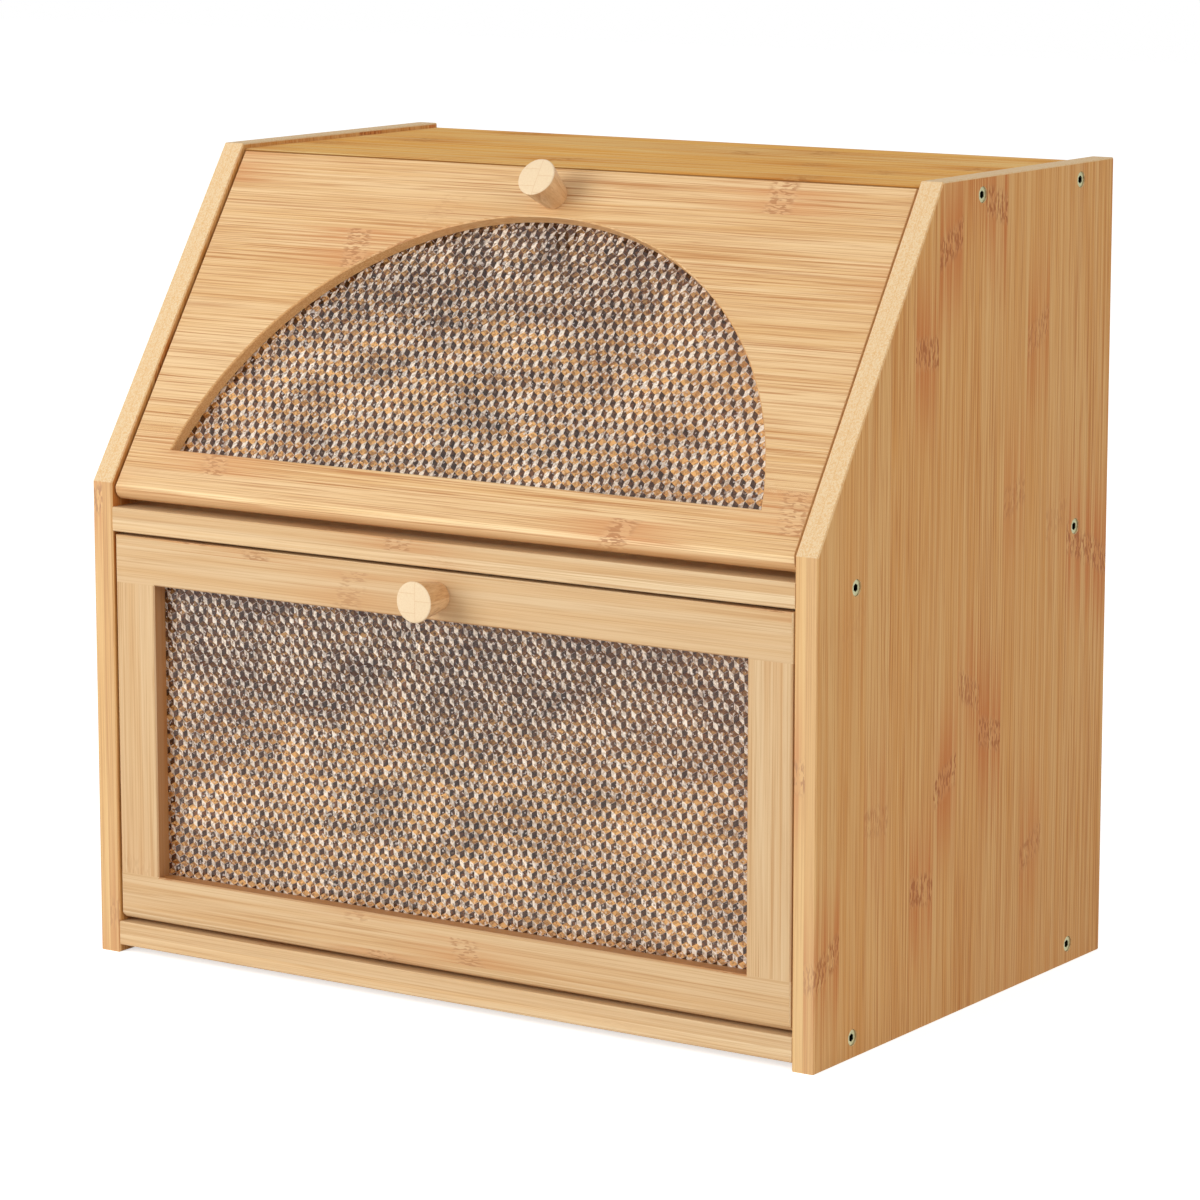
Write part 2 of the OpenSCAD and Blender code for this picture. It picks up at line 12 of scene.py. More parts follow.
import bmesh
import bpy
import numpy as np
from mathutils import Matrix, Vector


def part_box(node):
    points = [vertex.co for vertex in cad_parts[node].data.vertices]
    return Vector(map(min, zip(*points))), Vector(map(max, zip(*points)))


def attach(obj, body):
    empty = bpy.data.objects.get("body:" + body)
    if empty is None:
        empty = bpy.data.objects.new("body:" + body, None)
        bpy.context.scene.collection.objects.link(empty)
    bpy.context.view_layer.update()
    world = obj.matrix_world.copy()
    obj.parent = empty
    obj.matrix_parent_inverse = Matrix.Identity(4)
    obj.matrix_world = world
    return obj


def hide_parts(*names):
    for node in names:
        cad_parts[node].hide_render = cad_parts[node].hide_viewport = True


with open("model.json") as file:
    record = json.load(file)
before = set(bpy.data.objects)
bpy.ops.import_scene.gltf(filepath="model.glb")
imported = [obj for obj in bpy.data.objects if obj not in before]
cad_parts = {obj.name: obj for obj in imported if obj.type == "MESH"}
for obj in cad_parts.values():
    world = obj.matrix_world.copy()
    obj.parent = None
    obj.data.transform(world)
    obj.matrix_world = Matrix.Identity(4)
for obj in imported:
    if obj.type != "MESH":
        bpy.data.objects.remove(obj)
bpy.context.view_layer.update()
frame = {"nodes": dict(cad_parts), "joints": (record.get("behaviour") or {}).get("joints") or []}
nodes = frame["nodes"]

# %% [markdown]
# ## Where the doors are
#
# Each door was drawn with its hinge line at the origin and then put on the case. The upper door
# leans back by the slope of the case, so its pane and knob are easiest to work out in the door's own
# axes: x across, y through the door, z up the door. One function carries points from there to the
# frame, and one carries them back.

# %% Door axes
slope = radians(34.287)
hinge_of = {j["name"]: Vector(j["pos_m"]) for j in frame["joints"]}
upper_hinge = hinge_of["upper_door_hinge"]
lower_hinge = hinge_of["lower_door_hinge"]


def turned_about_x(points, angle):
    """Each (x, y, z) row turned about the X axis: y and z mix by the sine and cosine of the angle."""
    x, y, z = points.T
    return np.stack([x, y * cos(angle) - z * sin(angle), y * sin(angle) + z * cos(angle)], axis=1)


def on_door(points, hinge, lean):
    """Points of a door's own axes in the frame: leaned back about the hinge line, then moved to it."""
    return turned_about_x(points, -lean) + np.array(hinge)


def in_door(points, hinge, lean):
    """Frame points in a door's own axes: the way back from on_door."""
    return turned_about_x(points - np.array(hinge), lean)


print("upper hinge:", upper_hinge, "lower hinge:", lower_hinge)

# %% [markdown]
# ## Meshes from arrays
#
# New pieces are made from whole arrays of points and faces. The faces' turn is put right in one go,
# so that all of them look outward.

# %% Mesh helpers
def node_points(name):
    """The corner points of a CAD node's mesh, one row each."""
    mesh = nodes[name].data
    flat = np.zeros(len(mesh.vertices) * 3)
    mesh.vertices.foreach_get("co", flat)
    return flat.reshape(-1, 3)


def mesh_piece(name, points, faces, smooth=False, uv=None):
    """A new object at the origin from rows of points and lists of point numbers, faces outward."""
    mesh = bpy.data.meshes.new(name)
    mesh.from_pydata(points.tolist(), [], faces)
    if uv is not None:
        mesh.uv_layers.new(name="facet").uv.foreach_set("vector", uv.ravel())
    shell = bmesh.new()
    shell.from_mesh(mesh)
    bmesh.ops.recalc_face_normals(shell, faces=shell.faces)
    shell.to_mesh(mesh)
    shell.free()
    mesh.polygons.foreach_set("use_smooth", np.full(len(mesh.polygons), smooth))
    mesh.update()
    piece = bpy.data.objects.new(name, mesh)
    bpy.context.scene.collection.objects.link(piece)
    print(name, "points:", len(mesh.vertices), "faces:", len(mesh.polygons))
    return piece


# %% [markdown]
# ## Writing materials with few words
#
# A material is a graph of small nodes. These helpers add a node and fill or link its inputs in one
# call, so that a recipe below reads like a formula.

# %% Node helpers
def linear(red, green, blue):
    """A colour given as 0 to 255 screen values, as the linear light that shaders work in."""
    screen = np.array([red, green, blue]) / 255
    light = np.where(screen <= 0.04045, screen / 12.92, ((screen + 0.055) / 1.055) ** 2.4)
    return (*light.tolist(), 1.0)


def add(tree, kind, inputs=None, **settings):
    """A node of that kind, its settings set, its inputs filled with values or linked to sockets."""
    node = tree.nodes.new(kind)
    for name, value in settings.items():
        setattr(node, name, value)
    for name, value in (inputs or {}).items():
        if isinstance(value, bpy.types.NodeSocket):
            tree.links.new(value, node.inputs[name])
        else:
            node.inputs[name].default_value = value
    return node


def maths(tree, operation, *values, **settings):
    """One Math node's result."""
    inputs = dict(enumerate(values))
    return add(tree, "ShaderNodeMath", inputs, operation=operation, **settings).outputs[0]


def times(tree, first, second):
    """The product of two values."""
    return maths(tree, "MULTIPLY", first, second)


def ramp(tree, value, gain, start):
    """A straight line: gain times value, plus start."""
    return maths(tree, "MULTIPLY_ADD", value, gain, start)


def eased(tree, value, low, high, start=0.0, end=1.0):
    """A smooth step: start where value is at low, end where it is at high."""
    ends = {"Value": value, "From Min": low, "From Max": high, "To Min": start, "To Max": end}
    step = add(tree, "ShaderNodeMapRange", ends, interpolation_type="SMOOTHSTEP")
    return step.outputs["Result"]


def vector(tree, x, y, z):
    """Three numbers as one vector."""
    return add(tree, "ShaderNodeCombineXYZ", {0: x, 1: y, 2: z}).outputs[0]


def parts(tree, value):
    """A vector's three numbers."""
    return add(tree, "ShaderNodeSeparateXYZ", {0: value}).outputs[:3]


def in_millimetres(tree, place):
    """A place in metres as one in millimetres."""
    return add(tree, "ShaderNodeVectorMath", {0: place, "Scale": 1000.0}, operation="SCALE").outputs[0]


def stretched(tree, place, x, y, z):
    """A place with each of its numbers multiplied by its own factor."""
    return add(tree, "ShaderNodeMapping", {"Vector": place, "Scale": (x, y, z)}).outputs[0]


def noise(tree, place, detail=2.0, roughness=0.5, distortion=0.0):
    """Soft noise, one bump to each unit of place."""
    values = {"Vector": place, "Scale": 1.0, "Detail": detail, "Roughness": roughness,
              "Distortion": distortion}
    return add(tree, "ShaderNodeTexNoise", values).outputs[0]


def blended(tree, share, first, second):
    """first where share is 0 and second where it is 1."""
    node = add(tree, "ShaderNodeMix", {0: share, 6: first, 7: second}, data_type="RGBA")
    return node.outputs[2]


def new_material(name):
    """An empty node material and its output node."""
    material = bpy.data.materials.new(name)
    material.use_nodes = True
    material.node_tree.nodes.clear()
    return material, material.node_tree, add(material.node_tree, "ShaderNodeOutputMaterial")


def dress(material, *pieces):
    """Gives pieces, or CAD nodes by name, that material in every slot."""
    for piece in pieces:
        mesh = (nodes[piece] if isinstance(piece, str) else piece).data
        mesh.materials.clear()
        mesh.materials.append(material)


# %% [markdown]
# ## Laminated bamboo
#
# A bamboo board is glued from strips about 19 mm wide, each cut from the wall of a cane. Along every
# strip run fine fibres, and every 20 to 30 cm there is a knuckle, where the cane had a joint: the
# fibres curl there and the wood is redder for a hand's width. Each strip has its own tone. A picture
# of a board could be wrapped on, but the grain has to run through the boards to their ends, so the
# pattern is worked out in the solid. The group below takes a place in the board (along the grain,
# across the strips, through the plies) and returns a colour, a roughness and a height.

# %% Bamboo inputs
def bamboo_inputs(tree):
    """The group's sockets, with the values of an average board."""
    number, colour = "NodeSocketFloat", "NodeSocketColor"
    for name, kind, value in [
        ("Place", "NodeSocketVector", (0, 0, 0)),
        ("End grain", number, 0.0),
        ("Edge", number, 0.0),
        ("Edge share", number, 0.35),
        ("End joints", number, 0.0),
        ("Strip mm", number, 19.0),
        ("Ply mm", number, 5.5),
        ("Spacing mm", number, 300.0),
        ("Seed", number, 1.0),
        ("Streaks", number, 0.6),
        ("Knuckles", number, 0.8),
        ("Speckle", number, 0.5),
        ("Pale", colour, linear(236, 206, 158)),
        ("Tan", colour, linear(214, 168, 112)),
        ("Brown", colour, linear(168, 112, 66)),
        ("Red", colour, linear(176, 104, 58)),
        ("Ends", colour, linear(240, 218, 176)),
        ("Edge tone", colour, linear(226, 199, 158)),
    ]:
        tree.interface.new_socket(name, in_out="INPUT", socket_type=kind).default_value = value
    for name, kind in [("Color", colour), ("Roughness", number), ("Height", number)]:
        tree.interface.new_socket(name, in_out="OUTPUT", socket_type=kind)
    return add(tree, "NodeGroupInput").outputs, add(tree, "NodeGroupOutput").inputs


# %% [markdown]
# Strips and plies come from counting: a place divided by the strip's width, rounded down, is the
# strip's number, and white noise turns that number into dice for its tone and its knuckles. Each
# ply's strips start a little beside the ones of the ply below, as in a brick wall.

# %% Strips and knuckles
ply_shift = 0.37  # of a strip's width
knuckle_half_mm, knuckle_edge_mm = 4.0, 9.0
knuckle_tilt_mm, knuckle_scatter = 26.0, 5.0
tail_mm, tail_power = 65.0, 1.8
faint_share = 0.4  # of the strips' dice give knuckles that are fainter than the rest


def strip_values(tree, taken, across, through):
    """How far a place is into its strip and its ply, and four random numbers of the strip."""
    ply_count = maths(tree, "DIVIDE", through, taken["Ply mm"])
    ply = maths(tree, "FLOOR", ply_count)
    count = ramp(tree, ply, ply_shift, maths(tree, "DIVIDE", across, taken["Strip mm"]))
    cell = vector(tree, maths(tree, "FLOOR", count), ply, taken["Seed"])
    dice = add(tree, "ShaderNodeTexWhiteNoise", {"Vector": cell}, noise_dimensions="3D").outputs
    within = maths(tree, "FRACT", count)
    within_ply = maths(tree, "FRACT", ply_count)
    return within, within_ply, dice["Value"], parts(tree, dice["Color"])


def knuckle_masks(tree, taken, along, within, dice):
    """How much a place is in a knuckle, and in the long soft tail each side of it."""
    phase, lean, strength = dice
    spacing = taken["Spacing mm"]
    turns = ramp(tree, phase, knuckle_scatter, maths(tree, "DIVIDE", along, spacing))
    off = times(tree, maths(tree, "SUBTRACT", maths(tree, "FRACT", turns), 0.5), spacing)
    side = maths(tree, "SUBTRACT", within, 0.5)
    tilt = times(tree, side, ramp(tree, lean, knuckle_tilt_mm, -knuckle_tilt_mm / 2))
    away = maths(tree, "ABSOLUTE", maths(tree, "ADD", off, tilt))
    strong = times(tree, eased(tree, strength, 0.0, faint_share), taken["Knuckles"])
    knuckle = times(tree, eased(tree, away, knuckle_edge_mm, knuckle_half_mm), strong)
    tail = times(tree, maths(tree, "POWER", eased(tree, away, tail_mm, 0.0), tail_power), strong)
    return knuckle, tail


# %% [markdown]
# Fibres are noise stretched along the grain, in six sizes from broad bands to hairs. Every strip
# reads its own part of the noise, and inside a knuckle the fibres wander sideways.

# %% Fibres
fibre_sizes = {  # length in mm, width in mm, detail, roughness
    "broad": (240.0, 5.0, 1.5, 0.5),
    "streak": (120.0, 0.95, 3.0, 0.6),
    "bundle": (170.0, 1.9, 1.0, 0.5),
    "thread": (90.0, 0.5, 2.0, 0.7),
    "hair": (22.0, 0.42, 1.0, 0.5),
    "curls": (4.5, 0.9, 1.0, 0.5),
}
bend_length_mm, bend_width_mm, bend_by_mm = 5.0, 2.0, 1.0
strip_jump_mm, strip_drift_mm = 900.0, 70.0


def fibre_noises(tree, along, across, through, knuckle, dice):
    """The noises of fibre_sizes by name, at a place in millimetres."""
    wander = vector(tree, maths(tree, "DIVIDE", along, bend_length_mm),
                    maths(tree, "DIVIDE", across, bend_width_mm), through)
    bend = times(tree, ramp(tree, noise(tree, wander), 2 * bend_by_mm, -bend_by_mm), knuckle)
    a = ramp(tree, dice[0], strip_jump_mm, along)
    b = maths(tree, "ADD", ramp(tree, dice[1], strip_drift_mm, across), bend)
    c = ramp(tree, dice[2], strip_drift_mm, through)
    found = {}
    for name, (length_mm, width_mm, detail, roughness) in fibre_sizes.items():
        place = vector(tree, maths(tree, "DIVIDE", a, length_mm),
                       maths(tree, "DIVIDE", b, width_mm), maths(tree, "DIVIDE", c, width_mm))
        found[name] = noise(tree, place, detail, roughness)
    return found


# %% [markdown]
# The colour is laid on in thin layers, the way a grainer paints: the strip's own tone, dark and pale
# streaks, thin dark lines, crisp threads, then the red tails and the curls of the knuckles. A
# layer's two limits are the noise values between which it fades in.

# %% Colours along the grain
curl_dark = (0.12, 0.02, 0.004, 1)
dice_contrast, band_contrast, tone_start = 0.45, 2.2, -0.82
least_lively = 0.5  # of the board's streaks, in the calmest strips
patchy_low, patchy_high = 0.15, 0.85
ground_share, curl_share = 0.25, 0.9


def fibre_colour(tree, taken, fibre, tone_dice, strip_dice):
    """The strip's tone in broad bands, under streaks, lines and threads."""
    tone = ramp(tree, tone_dice, dice_contrast, ramp(tree, fibre["broad"], band_contrast, tone_start))
    colour = blended(tree, eased(tree, tone, 0.0, 1.0), taken["Pale"], taken["Tan"])
    streaks = taken["Streaks"]
    lively = times(tree, streaks, ramp(tree, strip_dice, 1 - least_lively, least_lively))
    from_line = maths(tree, "ABSOLUTE", maths(tree, "SUBTRACT", fibre["bundle"], 0.5))
    for amount, value, begins, full, most, tone_name in [
        (lively, fibre["streak"], 0.5, 0.66, 1.0, "Brown"),
        (lively, fibre["streak"], 0.48, 0.34, 0.9, "Pale"),
        (lively, from_line, 0.03, 0.0, 0.55, "Brown"),
        (streaks, fibre["thread"], 0.5, 0.66, 0.45, "Brown"),
        (streaks, fibre["thread"], 0.48, 0.34, 0.6, "Pale"),
    ]:
        share = times(tree, amount, eased(tree, value, begins, full, 0.0, most))
        colour = blended(tree, share, colour, taken[tone_name])
    return colour


def knuckle_colour(tree, taken, colour, fibre, knuckle, tail):
    """Red tails on the colour, then short dark curls on a paler ground. Returns the curls as well."""
    both = maths(tree, "ADD", fibre["broad"], fibre["streak"])
    patchy = eased(tree, both, 0.8, 1.1, patchy_low, patchy_high)
    colour = blended(tree, times(tree, tail, patchy), colour, taken["Red"])
    colour = blended(tree, times(tree, knuckle, ground_share), colour, taken["Pale"])
    curl = times(tree, eased(tree, fibre["curls"], 0.49, 0.57), knuckle)
    deep = blended(tree, 0.5, taken["Red"], curl_dark)
    return blended(tree, times(tree, curl, curl_share), colour, deep), curl


# %% [markdown]
# Two things are left: the thin glue lines between strips and plies, and the cut ends, where the
# fibres are seen head on as a fine speckle on a cream ground. Roughness and height follow the
# streaks and the hairs, so that the lacquer's shine breaks along the grain.

# %% Glue, ends and the whole group
glue_half_mm, glue_core_mm = 0.3, 0.02
glue_share, end_glue_share = 0.3, 0.35
speck_long_mm, speck_wide_mm = 0.9, 0.6
cut_begins, cut_full = 0.3, 0.5  # the normal's share along the grain
edge_begins, edge_full = 0.5, 0.9  # its share along the edge axis
lacquer_rough, hair_rough, streak_rough, cut_rough = 0.34, 0.1, 0.16, 0.18
hair_height, streak_height, glue_height, curl_height = -0.25, -0.6, -0.5, -0.35


def glue_lines(tree, taken, within, within_ply, cut):
    """Where glue shows. Joints between strips are hidden on cut ends, unless End joints is 1."""
    from_strip = times(tree, maths(tree, "PINGPONG", within, 0.5), taken["Strip mm"])
    from_ply = times(tree, maths(tree, "PINGPONG", within_ply, 0.5), taken["Ply mm"])
    hidden = times(tree, cut, maths(tree, "SUBTRACT", 1.0, taken["End joints"]))
    strip_glue = times(tree, eased(tree, from_strip, glue_half_mm, glue_core_mm),
                       maths(tree, "SUBTRACT", 1.0, hidden))
    return maths(tree, "MAXIMUM", strip_glue, eased(tree, from_ply, glue_half_mm, glue_core_mm))


def end_grain_colour(tree, taken, along, across, through, glue):
    """The speckle of a cut end, with faint glue lines."""
    place = vector(tree, maths(tree, "DIVIDE", along, speck_long_mm),
                   maths(tree, "DIVIDE", across, speck_wide_mm),
                   maths(tree, "DIVIDE", through, speck_wide_mm))
    speck = noise(tree, place, 2.0, 0.6, 1.0)
    dots = times(tree, eased(tree, speck, 0.45, 0.6), taken["Speckle"])
    colour = blended(tree, dots, taken["Ends"], taken["Tan"])
    return blended(tree, times(tree, glue, end_glue_share), colour, taken["Tan"])


def build_bamboo():
    """The bamboo group: a place, the board's values and its tones in, a finished surface out."""
    tree = bpy.data.node_groups.new("laminated_bamboo", "ShaderNodeTree")
    taken, given = bamboo_inputs(tree)
    along, across, through = parts(tree, in_millimetres(tree, taken["Place"]))
    within, within_ply, tone_dice, dice = strip_values(tree, taken, across, through)
    knuckle, tail = knuckle_masks(tree, taken, along, within, dice)
    fibre = fibre_noises(tree, along, across, through, knuckle, dice)
    cut = eased(tree, taken["End grain"], cut_begins, cut_full)
    glue = glue_lines(tree, taken, within, within_ply, cut)

    colour = fibre_colour(tree, taken, fibre, tone_dice, dice[1])
    colour, curl = knuckle_colour(tree, taken, colour, fibre, knuckle, tail)
    colour = blended(tree, times(tree, glue, glue_share), colour, taken["Brown"])
    # The edge tone, painted shade on some boards, goes on faces along the edge axis.
    rim = times(tree, eased(tree, taken["Edge"], edge_begins, edge_full), taken["Edge share"])
    colour = blended(tree, rim, colour, taken["Edge tone"])
    ends = end_grain_colour(tree, taken, along, across, through, glue)
    tree.links.new(blended(tree, cut, colour, ends), given["Color"])

    rough = ramp(tree, fibre["hair"], hair_rough, lacquer_rough)
    rough = ramp(tree, cut, cut_rough, ramp(tree, fibre["streak"], streak_rough, rough))
    tree.links.new(rough, given["Roughness"])
    height = ramp(tree, fibre["streak"], streak_height, times(tree, fibre["hair"], hair_height))
    height = ramp(tree, curl, curl_height, ramp(tree, glue, glue_height, height))
    tree.links.new(height, given["Height"])
    return tree


bamboo = build_bamboo()
print("bamboo group nodes:", len(bamboo.nodes))

# %% [markdown]
# Each board gets its own material from that group. Its coordinates are put in the order grain,
# strips, plies, and the share of the surface's normal along the grain tells where the board is cut
# across. The finish is a satin lacquer, so the shine is low and broad.

# %% Bamboo materials
bump_strength, bump_depth = 0.5, 0.00012


def facing(tree, normal, axis):
    """How squarely a face looks along an axis: 1 straight along it, 0 across, -1 the other way."""
    turn = add(tree, "ShaderNodeVectorMath", {0: normal, 1: axis}, operation="DOT_PRODUCT")
    return turn.outputs["Value"]


def bamboo_material(name, place, grain_axis, seed, shine=0.3, edge_axis=None, **values):
    """A board's material. place adds the nodes that turn Object coordinates to the grain's axes.

    Faces that look along grain_axis, either way, are cut ends. Faces that look along edge_axis, if
    it is given, take some of the edge tone, which on some boards is painted shade.
    """
    material, tree, output = new_material(name)
    where = add(tree, "ShaderNodeTexCoord").outputs
    group = add(tree, "ShaderNodeGroup", node_tree=bamboo)
    tree.links.new(place(tree, where["Object"]), group.inputs["Place"])
    cut = maths(tree, "ABSOLUTE", facing(tree, where["Normal"], grain_axis))
    tree.links.new(cut, group.inputs["End grain"])
    if edge_axis:
        tree.links.new(facing(tree, where["Normal"], edge_axis), group.inputs["Edge"])
    group.inputs["Seed"].default_value = seed
    for key, value in values.items():
        group.inputs[key.replace("_", " ")].default_value = value
    bump = add(tree, "ShaderNodeBump", {
        "Strength": bump_strength, "Distance": bump_depth, "Height": group.outputs["Height"]})
    shader = add(tree, "ShaderNodeBsdfPrincipled", {
        "Base Color": group.outputs["Color"], "Roughness": group.outputs["Roughness"],
        "Normal": bump.outputs[0], "Specular IOR Level": shine})
    tree.links.new(shader.outputs[0], output.inputs[0])
    return material


def grain(*axes_and_starts):
    """Nodes that pick the axes of the grain, the strips and the plies, each counted from a start."""
    def place(tree, coordinates):
        xyz = dict(zip("xyz", parts(tree, coordinates)))
        return vector(tree, *(maths(tree, "SUBTRACT", xyz[axis], start)
                              for axis, start in axes_and_starts))
    return place


def along_axis(letter):
    """The unit vector of the axis x, y or z."""
    return tuple(int(letter == axis) for axis in "xyz")


def board(name, axes, seed, **values):
    """Dresses a board whose grain, strips and plies run along the three axes named.

    Strips are counted from the board's low side, plies from its middle.
    """
    low, high = (dict(zip("xyz", corner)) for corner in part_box(name))
    along, across, through = axes
    middle = (low[through] + high[through]) / 2
    place = grain((along, 0), (across, low[across]), (through, middle))
    dress(bamboo_material("bamboo_" + name, place, along_axis(along), seed, **values), name)


# %% [markdown]
# The tones are the photograph's, one set to each kind of board: golden sides, a pale door, a
# slightly greyer frame and a deep yellow top. The windows' inner edges, the upper door's cut ends and
# its foot are browner, and the top panel's front edge is dark: painted shade, where these faces look
# into hollows and gaps.

# %% Tones
side_tones = {
    "Pale": linear(226, 183, 120), "Tan": linear(213, 156, 84), "Brown": linear(180, 115, 52),
    "Red": linear(190, 104, 42), "Ends": linear(226, 199, 158)}
# The door's end and edge tones are painted shade, for its window's wall and its foot.
door_tones = {
    "Pale": linear(243, 214, 166), "Tan": linear(227, 187, 130), "Brown": linear(182, 128, 78),
    "Red": linear(208, 144, 94), "Ends": linear(196, 142, 88), "Edge tone": linear(196, 142, 88)}
rail_tones = {
    "Pale": linear(226, 199, 158), "Tan": linear(215, 178, 130), "Brown": linear(186, 142, 93),
    "Red": linear(198, 138, 86), "Ends": linear(236, 210, 164)}
back_tones = {
    "Pale": linear(234, 196, 140), "Tan": linear(222, 172, 110), "Brown": linear(186, 130, 74),
    "Red": linear(194, 122, 62), "Ends": linear(226, 199, 158)}
# The top's edge tone is painted shade, for the gap above the upper door.
top_tones = {
    "Pale": linear(255, 230, 162), "Tan": linear(255, 196, 98), "Brown": linear(216, 137, 60),
    "Red": linear(204, 126, 64), "Ends": linear(226, 199, 158), "Edge tone": linear(116, 66, 28)}
# The frame's edge tone is painted shade on the window's inner edges.
frame_tones = {**rail_tones, "Edge tone": linear(158, 98, 44)}

# %% [markdown]
# Canes give upright sides and lying shelves, so the strips run up the sides and the back, and across
# the shelves, the doors and the rails.

# %% Dressed boards
front = (0, -1, 0)
for number, side in enumerate(("left_side_panel", "right_side_panel")):
    board(side, "zyx", 11.0 + number, shine=0.15, edge_axis=front, Streaks=1.15, Knuckles=1.0,
          Strip_mm=19.4, Spacing_mm=230.0, **side_tones)
for number, shelf in enumerate(("middle_shelf", "bottom_panel")):
    board(shelf, "xyz", 22.0 + number, Streaks=0.7, Knuckles=0.7, **rail_tones)
board("top_panel", "xyz", 21.0, shine=0.0, edge_axis=front, Edge_share=0.75, Streaks=1.3,
      Knuckles=0.7, **top_tones)
board("back_panel", "zxy", 61.0, Streaks=0.8, Knuckles=0.8, Ply_mm=5.0, **back_tones)

frame_values = {"Edge_share": 0.8, "Streaks": 0.75, "Knuckles": 0.7, "Strip_mm": 23.0, **frame_tones}
board("lower_top_rail", "xzy", 41.0, edge_axis=(0, 0, -1), **frame_values)
board("lower_bottom_rail", "xzy", 42.0, edge_axis=(0, 0, 1), **frame_values)
board("lower_left_stile", "zxy", 51.0, edge_axis=(1, 0, 0), Spacing_mm=220.0, **frame_values)
board("lower_right_stile", "zxy", 52.0, edge_axis=(-1, 0, 0), Spacing_mm=220.0, **frame_values)


def door_axes(tree, coordinates, hinge, lean):
    """Nodes for a place in a door's own axes: moved to the hinge line and turned upright."""
    moved = add(tree, "ShaderNodeMapping", {"Vector": coordinates, "Location": tuple(-hinge)})
    turned = add(tree, "ShaderNodeMapping", {"Vector": moved.outputs[0], "Rotation": (lean, 0, 0)})
    return parts(tree, turned.outputs[0])


def leaned_grain(tree, coordinates):
    """The upper door's grain: across the door, with the strips counted up the slope."""
    x, y, z = door_axes(tree, coordinates, upper_hinge, slope)
    return vector(tree, x, z, y)


# The faces that look down the slope, the window's wall and the door's foot, take painted shade.
down_the_slope = (0, -sin(slope), -cos(slope))
dress(bamboo_material("bamboo_upper_door", leaned_grain, (1, 0, 0), 34.0, edge_axis=down_the_slope,
                      Edge_share=0.7, Streaks=1.3, Knuckles=0.8, Strip_mm=20.0, **door_tones),
      "upper_door_board")

low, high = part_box("lower_stop_block")
dress(bamboo_material("bamboo_stop_block", grain(("x", 0), ("y", low.y), ("z", low.z)), (1, 0, 0), 66.0,
                      Streaks=0.5, Knuckles=0.3, **rail_tones), "lower_stop_block")
dress(bamboo_material("beech_dowel", grain(("x", 0), ("z", 0), ("y", 0)), (1, 0, 0), 71.0,
                      Streaks=0.3, Knuckles=0.0, **rail_tones), "lower_frame_dowels")
print("materials so far:", len(bpy.data.materials))

# %% [markdown]
# ## Metal
#
# The case screws have zinc-plated barrel heads with a greenish-yellow tint and a hexagon socket. The
# small screws, pins, magnets and strikes are bright plated steel. Turned or stamped steel isn't a
# flat grey: fine scratches break its shine, so roughness and bump both read a fine noise.

# %% Metals
# Painted shade and oil for the depths of the case screws' hex sockets.
socket_shade_and_oil = (0.02, 0.018, 0.012, 1)
socket_shade_fade_mm = 0.5
scratches_per_mm = (6.0, 1.2, 6.0)
smoother, rougher, dull_share = 0.06, 0.12, 0.72
scratch_strength, scratch_depth = 0.3, 0.00003


def metal(name, colour, roughness, shade_and_oil_mm=None):
    """Plated steel: metallic, with the shine broken by fine scratches and faint cloudy patches.

    Where the last argument is given, metal nearer the middle of the box than that many mm is dark:
    painted shade and oil, deep in a screw's hex socket.
    """
    material, tree, output = new_material(name)
    in_mm = in_millimetres(tree, add(tree, "ShaderNodeTexCoord").outputs["Object"])
    scratch = noise(tree, stretched(tree, in_mm, *scratches_per_mm), 3.0, 0.6)
    dull = tuple(dull_share * v for v in colour[:3]) + (1.0,)
    cloudy = eased(tree, noise(tree, in_mm), 0.35, 0.7, 0.0, 0.6)
    tint = blended(tree, cloudy, colour, dull)
    # Painted shade and oil deep in the socket, fading in over a short depth.
    if shade_and_oil_mm:
        from_middle = maths(tree, "ABSOLUTE", parts(tree, in_mm)[0])
        deep = eased(tree, from_middle, shade_and_oil_mm, shade_and_oil_mm - socket_shade_fade_mm)
        tint = blended(tree, deep, tint, socket_shade_and_oil)
    rough = eased(tree, scratch, 0.3, 0.7, roughness - smoother, roughness + rougher)
    bump = add(tree, "ShaderNodeBump", {
        "Strength": scratch_strength, "Distance": scratch_depth, "Height": scratch})
    shader = add(tree, "ShaderNodeBsdfPrincipled", {
        "Base Color": tint, "Roughness": rough, "Metallic": 1.0, "Normal": bump.outputs[0]})
    tree.links.new(shader.outputs[0], output.inputs[0])
    return material


low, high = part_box("case_screws")
zinc = metal("yellow_zinc", linear(188, 188, 150), 0.4, shade_and_oil_mm=high.x * 1000 - 0.1)
bright = metal("bright_steel", linear(196, 194, 188), 0.3)
nickel = metal("nickel_plate", linear(160, 157, 150), 0.25)
dress(zinc, "case_screws")
dress(bright, "stop_block_screws", "upper_pane_screws", "lower_pane_screws", "upper_knob_screw",
      "lower_knob_screw", "upper_hinge_pins", "lower_hinge_pins")
dress(nickel, "upper_catch_magnets", "lower_catch_magnets", "upper_strikes", "lower_strikes")
print("metals:", zinc.name, bright.name, nickel.name)

# %% [markdown]
# ## Embossed panes
#
# The windows are sheets of clear plastic pressed with a pattern of small three-sided pyramids, packed
# like a honeycomb. Each pyramid has three rhombic faces, and each face bends the light another way,
# so one looks bright, one dark and one takes the colour of what is behind. A bump map can't do this
# from the side, so the faces are real. A pyramid's height falls off from its tip as the largest of
# three straight slopes, and it meets its neighbours in a honeycomb of six-sided cells.

